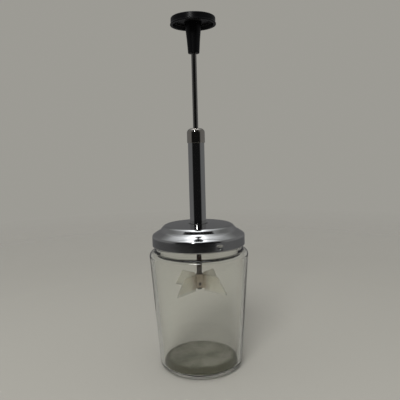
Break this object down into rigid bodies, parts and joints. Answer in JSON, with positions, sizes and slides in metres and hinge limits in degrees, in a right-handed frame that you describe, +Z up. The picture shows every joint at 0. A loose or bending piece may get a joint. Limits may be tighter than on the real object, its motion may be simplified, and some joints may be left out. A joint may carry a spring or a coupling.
{
  "type": "nut chopper",
  "caption": "Glass jar nut chopper: a sprung plunger through its chrome screw lid drives crossed steel blades down onto a pad on the jar's floor.",
  "frame": {"origin": "centre of the jar's foot, on the surface that it stands on", "axes": "+Z up along the plunger; -Y faces the picture's viewer"},
  "size_m": [0.0782, 0.0782, 0.2723],
  "materials": {
    "jar_glass": "clear pressed glass with a slight olive tint",
    "pad_board": "dull grey moulded disc",
    "lid_chrome": "polished chrome plate",
    "tube_chrome": "polished chrome plate",
    "ferrule_nickel": "warm nickel plate",
    "collar_steel": "plated pressed steel",
    "gasket_rubber": "soft pale ring",
    "guide_plastic": "natural plastic bush",
    "spring_steel": "spring steel, bright",
    "rod_steel": "ground steel",
    "blade_steel": "stamped stainless sheet",
    "knob_black": "moulded, polished",
    "insert_brass": "turned"
  },
  "bodies": {
    "jar_body": {"jar": "jar_glass", "cutting_pad": "pad_board"},
    "gasket_body": {"lid_gasket": "gasket_rubber"},
    "lid_body": {"lid": "lid_chrome", "spring_tube": "tube_chrome", "tube_ferrule": "ferrule_nickel", "tube_collar": "collar_steel", "upper_guide": "guide_plastic", "lower_guide": "guide_plastic", "spring_lower_washer": "spring_steel", "return_spring": "spring_steel"},
    "seat_body": {"upper_spring_seat": "spring_steel"},
    "plunger": {"plunger_rod": "rod_steel", "knob": "knob_black", "knob_insert": "insert_brass", "rod_clip": "spring_steel", "blade_front": "blade_steel", "blade_back": "blade_steel", "blade_upper_washer": "rod_steel", "blade_spacer": "rod_steel", "blade_lower_washer": "rod_steel"}
  },
  "joints": [
    {"name": "lid_rise", "type": "slide", "parent": "jar_body", "child": "gasket_body", "axis": [0, 0, 1], "range_m": [0, 0.056]},
    {"name": "lid_unscrew", "type": "hinge", "parent": "gasket_body", "child": "lid_body", "pos_m": [0, 0, 0.1013], "axis": [0, 0, 1], "range_deg": [0, 1440]},
    {"name": "plunger_press", "type": "slide", "parent": "lid_body", "child": "seat_body", "axis": [0, 0, -1], "range_m": [0, 0.0555], "stiffness_N_per_m": 300, "springref_m": -0.02, "deforming": ["return_spring"]},
    {"name": "plunger_spin", "type": "hinge", "parent": "seat_body", "child": "plunger", "pos_m": [0, 0, 0.1823], "axis": [0, 0, 1], "continuous": true}
  ],
  "couplings": [
    {"joint": "lid_unscrew", "follows": "lid_rise", "rad_per_m": 448.8}
  ]
}
